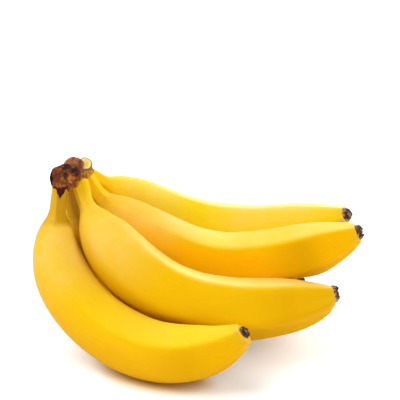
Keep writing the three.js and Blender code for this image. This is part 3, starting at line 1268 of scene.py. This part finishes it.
@dataclass
class Crown:
    """The dry lumps that join the stems, with the flap that hangs from them."""

    lumps: tuple[tuple[Point, Point], ...] = (
        ((-78.1, 3.6, 102.2), (9.2, 7.2, 7.6)),
        ((-81.9, 2.6, 100.6), (4.9, 6.4, 6.2)),
        ((-83.2, 3.6, 104.7), (3.1, 5.0, 3.7)),
        ((-76.7, 9.5, 101.4), (7.4, 8.6, 7.0)),
        ((-74.7, 15.9, 103.3), (6.8, 8.4, 7.4)),
        ((-68.9, 18.3, 102.1), (5.5, 7.2, 4.0)),
        ((-71.9, 26.3, 100.6), (5.9, 7.2, 5.4)),
    )
    flap_top: Point = (-80.2, -2.4, 99.5)
    flap_tip: Point = (-80.9, -5.7, 91.6)
    flap_radius: float = 3.8
    flap_end: float = 0.15  # the radius of its tip
    flap_sides: int = 24
    voxel: float = 0.28
    face: tuple[float, float] = (-78.4, 102.6)  # the middle of the cut face, across and up
    face_size: tuple[float, float] = (7.6, 6.4)
    face_depth: float = 1.0
    patches: tuple[Patch, ...] = (
        Patch("orange", -74.4, 103.2, 2.4, 1.8),
        Patch("orange", -77.6, 100.6, 1.5, 1.4, 0.8),
        Patch("orange", -80.6, 101.4, 1.3, 1.1, 0.5),
        Patch("pink", -75.1, 101.2, 1.2, 0.8, 0.8),
        Patch("pink", -80.2, 99.6, 1.4, 0.9, 0.6),
        Patch("red", -83.4, 104.6, 1.9, 4.0, 0.8),
        Patch("red", -71.2, 102.6, 1.6, 3.4, 0.9, 40.0),
        Patch("red", -74.6, 110.8, 0.8, 0.6, 1.0, 40.0),
        Patch("red", -70.4, 107.8, 1.2, 3.4, 0.9, 40.0),
        Patch("olive", -79.4, 105.6, 2.2, 2.2, 0.7),
        Patch("olive", -77.3, 102.8, 1.3, 1.4, 0.9),
        Patch("gold", -65.6, 98.6, 5.2, 4.4, 1.0, 40.0),
        Patch("gold", -72.6, 95.0, 3.8, 2.4, 0.8, 40.0),
        Patch("yellow", -66.2, 97.2, 4.6, 3.4, 1.0, 40.0),
        Patch("char", -77.4, 105.2, 1.1, 1.9, 0.9),
        Patch("char", -76.8, 108.9, 3.4, 0.9, 0.9, 8.0),
        Patch("char", -72.6, 107.4, 2.6, 1.3, 1.0, 9.0),
        Patch("char", -71.2, 105.4, 1.6, 1.2, 0.8, 9.0),
    )

    def build(self, finish: bpy.types.Material) -> bpy.types.Object:
        """Return the crown as one mesh.

        Args:
            finish: Its material.

        Returns:
            The finished piece.
        """
        lumps = bmesh.new()
        for centre, size in self.lumps:
            place = Matrix.Translation(centre) @ Matrix.Diagonal((*size, 1.0))
            bmesh.ops.create_icosphere(lumps, subdivisions=4, radius=1.0, matrix=place)
        top, tip = Vector(self.flap_top), Vector(self.flap_tip)
        turn = (top - tip).to_track_quat("Z", "Y").to_matrix().to_4x4()
        bmesh.ops.create_cone(
            lumps,
            cap_ends=True,
            segments=self.flap_sides,
            radius1=self.flap_end,
            radius2=self.flap_radius,
            depth=(top - tip).length,
            matrix=Matrix.Translation((top + tip) / 2) @ turn,
        )
        rough = bpy.data.meshes.new("crown_rough")
        lumps.to_mesh(rough)
        lumps.free()
        form = bpy.data.objects.new("crown_rough", rough)
        bpy.context.scene.collection.objects.link(form)
        weld = form.modifiers.new("weld", "REMESH")
        weld.mode = "VOXEL"
        weld.voxel_size = self.voxel
        soften = form.modifiers.new("soften", "SMOOTH")
        soften.factor = 0.5
        soften.iterations = 6
        welded = form.evaluated_get(bpy.context.evaluated_depsgraph_get()).to_mesh()
        points = [corner.co.copy() for corner in welded.vertices]
        normals = [corner.normal.copy() for corner in welded.vertices]
        faces = [tuple(face.vertices) for face in welded.polygons]
        bpy.data.objects.remove(form)
        moved = [self.weather(point, normal) for point, normal in zip(points, normals)]
        piece = mesh_piece("crown_fibres", moved, faces, finish)
        paint_places(piece, "crown_place", [tuple(point) for point in points])
        for tone in ("orange", "pink", "red", "olive", "gold", "yellow", "char"):
            paint(piece, tone, [self.tone(tone, point) for point in points])
        paint(piece, "rim", [self.rim(point) for point in points])
        paint(piece, "flap", [self.on_flap(point) for point in points])
        paint(piece, "lobe", [smoothstep(8.0, 11.0, point.y) for point in points])
        paint(piece, "pit", [self.pit(point) for point in points])
        return settle(piece, ["crown"], "crown")

    def across_face(self, point: Vector) -> float:
        """Return how far a point is from the middle of the cut face: 1 is on its rim."""
        across = (point.x - self.face[0]) / self.face_size[0]
        return math.hypot(across, (point.z - self.face[1]) / self.face_size[1])

    def pit(self, point: Vector) -> float:
        """Return how deep a point lies between the fibres, from 0 to 1."""
        strand = Vector((point.x, point.y, point.z / 2.6))
        return smoothstep(0.02, 0.3, abs(noise.noise(strand)) + 0.25 * noise.noise(point / 0.7))

    def weather(self, point: Vector, normal: Vector) -> Point:
        """Return a point moved by the hollow of the cut face and the dried lumps and fibres.

        Args:
            point: A point of the smooth crown.
            normal: The way that the surface faces there.

        Returns:
            The place that the point moves to.
        """
        front = smoothstep(2.5, -1.0, point.y) * (1 - self.on_flap(point))
        hollow = self.face_depth * front * smoothstep(0.95, 0.45, self.across_face(point))
        broad = 0.5 * noise.noise(point / 4.5) + 0.35 * noise.noise(point / 2.1)
        fibre = 0.42 * (0.5 - self.pit(point)) + 0.12 * noise.noise(point / 0.5)
        away = point + normal * (broad + fibre)
        return (away.x, away.y + hollow, away.z)

    def tone(self, tone: str, point: Vector) -> float:
        """Return how much of a tone there is at a point of the front.

        Args:
            tone: The tone's name.
            point: A point of the smooth crown.

        Returns:
            The share of the tone there, from 0 to 1.
        """
        shares = [0.0]
        ragged = 0.55 * noise.noise(point / 1.3) + 0.3 * noise.noise(point / 0.6)
        for patch in self.patches:
            if patch.tone == tone:
                away = math.hypot((point.x - patch.x) / patch.width, (point.z - patch.z) / patch.height)
                near = smoothstep(patch.depth + 1.0, patch.depth - 1.0, point.y)
                shares.append(patch.strength * near * smoothstep(1.35, 0.55, away + ragged))
        return max(shares)

    def rim(self, point: Vector) -> float:
        """Return how charred a point is: along the top and the left of the front lump.

        Args:
            point: A point of the smooth crown.

        Returns:
            The share of charring there, from 0 to 1.
        """
        ragged = 0.5 * noise.noise(point / 1.6)
        top = smoothstep(109.2, 109.9, point.z + ragged) * smoothstep(9.0, 5.0, point.y)
        top *= smoothstep(-70.0, -73.0, point.x)
        left = smoothstep(-84.3, -85.5, point.x + ragged) * smoothstep(6.0, 2.0, point.y)
        return max(top, left)

    def on_flap(self, point: Vector) -> float:
        """Return 1 on the flap and 0 off it."""
        inside = smoothstep(4.9, 4.2, abs(point.x - self.flap_tip[0]))
        return smoothstep(99.6, 98.2, point.z) * smoothstep(-0.5, -2.0, point.y) * inside


@dataclass
class CutStub:
    """The stub of a fruit that was cut away."""

    face: Point = (-68.1, 16.0, 107.1)
    way: Point = (0.1, -0.6, 0.79)
    radius: float = 4.6
    length: float = 5.0
    edge: float = 5.0
    ridge: float = 20.0
    sides: int = 90
    rings: tuple[int, int] = (16, 22)  # up its wall, and in over its face
    dip: float = 0.35  # how far the middle of its face has sunk

    def build(self, finish: bpy.types.Material) -> bpy.types.Object:
        """Return the stub as one closed mesh.

        Args:
            finish: Its material.

        Returns:
            The finished piece.
        """
        face = Vector(self.face)
        turn = Vector(self.way).normalized().to_track_quat("Y", "Z").to_matrix()
        tube = Tube(self.sides)
        wall, cap = self.rings
        for r in range(wall + cap):
            out = r < wall
            inward = 0.0 if out else (r - wall + 1) / cap
            height = -self.length * (1 - r / (wall - 1)) if out else 0.0
            for s in range(self.sides):
                angle = 360 * s / self.sides
                spin = math.radians(angle)
                radius = self.radius * section(angle, self.ridge, self.edge) * (1 - 0.97 * inward)
                if out:
                    radius -= 0.45 * smoothstep(-0.8, 0.0, height)
                place = Vector((radius * math.cos(spin), height, radius * math.sin(spin)))
                dip = self.dip * smoothstep(0.0, 0.5, inward) - 0.12 * noise.noise(place / 1.3)
                spot = face + turn @ (place - Vector((0.0, 0.0 if out else dip, 0.0)))
                rim = 1.0 if out else smoothstep(0.24, 0.06, inward)
                ring = smoothstep(0.62, 0.3, inward + 0.12 * noise.noise(place / 1.2))
                tube.add(spot, place, rim=rim, ring=ring, skin=float(out))
        for height in (-self.length, -self.dip):
            place = Vector((0.0, height, 0.0))
            tube.add(face + turn @ place, place, rim=0.0, ring=0.0, skin=0.0)
        piece = tube.piece("stub", "stub_place", finish)
        return settle(piece, ["cut_stub"], "cut_face")


# ---- the studio ---------------------------------------------------------------------------------


class Lamp(Enum):
    """A broad far lamp: its height and its turn from +X, in degrees, and its strength."""

    LEFT = (50.0, 180.0, 2.98)
    LOW = (25.0, 63.0, 3.1)
    BACK = (50.0, 30.0, 0.8)
    RIGHT = (32.0, 308.0, 1.8)
    FRONT = (25.0, 250.0, 0.17)


@dataclass
class Studio:
    """The pale floor, the soft lamps and the camera."""

    eye: Point = (-4.7, -530.1, 264.84)
    down: float = 22.0
    lens: float = 86.03
    shift: tuple[float, float] = (0.02, 0.155)
    ambient: float = 0.03
    lamp_width: float = 55.0
    floor: Colour = (0.9, 0.9, 0.9)
    # a faint bluish glow of the floor, seen only by the camera: painted fill light that lightens its cast
    # shadows
    painted_fill_light: Colour = (0.09, 0.11, 0.115)
    # the painted contact shadow under the fruits, and how far it reaches
    contact: Colour = (0.78, 0.57, 0.24)
    contact_reach: tuple[float, float] = (9.0, 2.0)
    floor_step: float = 2.0  # the corners' spacing where the floor is fine
    fine: float = 140.0  # how far the fine part of the floor reaches
    wide: float = 8000.0  # how far the whole floor reaches
    low: float = 16.0  # the height below which a fruit casts the painted contact shadow on the floor
    floor_roughness: float = 0.9
    sensor: float = 36.0
    sight: float = 50.0  # how far the camera sees, in metres

    def build(self, peels: Sequence[bpy.types.Object]) -> None:
        """Make the floor, the lamps, the camera and the ambient light.

        Args:
            peels: The fruits that lie on the floor.
        """
        self.lay_floor(peels)
        for lamp in Lamp:
            self.shine(lamp)
        world = bpy.data.worlds.new("studio")
        world.use_nodes = True
        world.node_tree.nodes["Background"].inputs[0].default_value = (1.0, 1.0, 1.0, 1.0)
        world.node_tree.nodes["Background"].inputs[1].default_value = self.ambient
        bpy.context.scene.world = world
        bpy.context.scene.view_settings.view_transform = "Standard"
        self.camera()

    def lay_floor(self, peels: Sequence[bpy.types.Object]) -> None:
        """Make the floor, with a painted contact shadow, deep and warm, where the fruits come near it, and
        painted fill light elsewhere.

        Args:
            peels: The fruits that lie on the floor.
        """
        corners_of_peels = (corner.co for peel in peels for corner in peel.data.vertices)
        tree = tree_of([place / MM for place in corners_of_peels if place.z < self.low * MM])
        steps = int(2 * self.fine / self.floor_step) + 1
        fine_ways = [-self.fine + self.floor_step * i for i in range(steps)]
        ways = [-self.wide, *fine_ways, self.wide]
        count = len(ways)
        corners = [(x, y, 0.0) for y in ways for x in ways]
        faces = [
            (r * count + c, r * count + c + 1, (r + 1) * count + c + 1, (r + 1) * count + c)
            for r in range(count - 1)
            for c in range(count - 1)
        ]
        material, wiring, shader = start_material("studio_floor")
        contact = wiring.layer("contact")
        # Painted contact shadow: the floor turns deep and warm near the low parts of the fruits.
        wiring.put(shader.inputs["Base Color"], wiring.mix(contact, self.floor, self.contact))
        # Painted fill light: the floor glows faintly for the camera only, except in the painted contact
        # shadow.
        wiring.put(shader.inputs["Emission Color"], wiring.mix(contact, self.painted_fill_light, BLACK))
        seen = wiring.add("ShaderNodeLightPath").outputs["Is Camera Ray"]
        wiring.put(shader.inputs["Emission Strength"], seen)
        shader.inputs["Roughness"].default_value = self.floor_roughness
        floor = mesh_piece("floor", corners, faces, material)
        far, close = self.contact_reach
        paint(floor, "contact", [smoothstep(far, close, tree.find(corner)[2]) for corner in corners])

    def shine(self, lamp: Lamp) -> None:
        """Add a lamp.

        Args:
            lamp: Which one.
        """
        height, turn, strength = lamp.value
        data = bpy.data.lights.new(lamp.name.lower(), "SUN")
        data.angle = math.radians(self.lamp_width)
        data.energy = strength
        piece = bpy.data.objects.new(lamp.name.lower(), data)
        up, round_ = math.radians(height), math.radians(turn)
        towards = Vector((math.cos(up) * math.cos(round_), math.cos(up) * math.sin(round_), math.sin(up)))
        piece.rotation_euler = towards.to_track_quat("Z", "Y").to_euler()
        bpy.context.scene.collection.objects.link(piece)

    def camera(self) -> None:
        """Add the camera, level and looking down at the bunch."""
        data = bpy.data.cameras.new("camera")
        data.lens = self.lens
        data.sensor_width = self.sensor
        data.shift_x, data.shift_y = self.shift
        data.clip_end = self.sight
        camera = bpy.data.objects.new("camera", data)
        camera.location = Vector(self.eye) * MM
        camera.rotation_euler = (math.radians(90 - self.down), 0.0, 0.0)
        bpy.context.scene.collection.objects.link(camera)
        bpy.context.scene.camera = camera


FRUITS = (
    Banana(
        number=1, stem=(-81.3, 1.8, 96.5), azimuth=-125, dip=74.5, roll=-98, length=182.7, girth=18.0,
        curl=(10.5, 39, 37.5, 51), sway=2, ridge=-71, edge=6.5, blossom=3.6, blossom_length=3.1,
        lemon=0.3, warm=0.5, upper_highlight=0.0, bloom=0.15, ochre=0.5,
    ),
    Banana(
        number=2, stem=(-70.5, 8.2, 97.6), azimuth=-61.5, dip=54, roll=-74, length=184.2, girth=19.5,
        curl=(15, 19.5, 36.5, 18.6), sway=-2, ridge=-60, edge=8.5, blossom=5.3, blossom_length=4.9,
        lemon=0.1, warm=0.2, upper_highlight=0.0, bloom=0.9, ochre=0.05,
        swells=(
            Swell(rise=(0.80, 0.96), fall=(0.975, 1.015), angle=172.0, height=2.4),
            Swell(rise=(0.02, 0.06), fall=(0.14, 0.2), angle=0.0, height=-1.2),
        ),
    ),
    Banana(
        number=3, stem=(-68.0, 19.7, 97.1), azimuth=1, dip=63, roll=9, length=185.3, girth=18.9,
        curl=(22, 14.5, 37.5, 16.5), sway=0, ridge=-39, edge=11, blossom=4.8,
        lemon=0.0, warm=0.9, upper_highlight=0.0, bloom=0.4, ochre=0.05,
        swells=(
            Swell(rise=(0.80, 0.88), fall=(0.96, 1.02), angle=183.0, height=1.0),
            Swell(rise=(0.58, 0.68), fall=(0.735, 0.84), angle=183.0, height=-3.2),
        ),
    ),
    Banana(
        number=4, stem=(-69.7, 31.1, 97.4), azimuth=30.5, dip=36, roll=52, length=186.1, girth=17.4,
        curl=(3.5, 13.5, 40.5, 27.5), sway=-2, ridge=-55, edge=8.5, blossom=4.2,
        lemon=1.0, warm=0.0, upper_highlight=0.45, bloom=0.9, ochre=0.0, tawny=0.3,
    ),
    Banana(
        number=5, stem=(-78.5, 13.5, 92.1), azimuth=67, dip=75.5, roll=71, length=188.3, girth=16.4,
        curl=(12.5, 35.5, 30.2, 33.5), sway=2, ridge=-64, edge=6, blossom=5.2,
        lemon=0.1, warm=0.1, upper_highlight=0.0, bloom=0.5, ochre=0.35,
    ),
)


def main() -> None:
    """Build the bunch and the studio."""
    logging.basicConfig(level=logging.INFO, format="%(message)s")
    effects = Effects()
    peel = Peel().make(effects)
    bark = BlossomBark().make(effects)
    peels = [banana.build_peel(peel) for banana in FRUITS]
    paint_closeness(peels)
    for banana in FRUITS:
        banana.build_blossom(bark)
    Crown().build(DryTissue().make(effects))
    CutStub().build(CutFlesh().make(effects))
    Studio().build(peels)


if __name__ == "__main__":
    main()
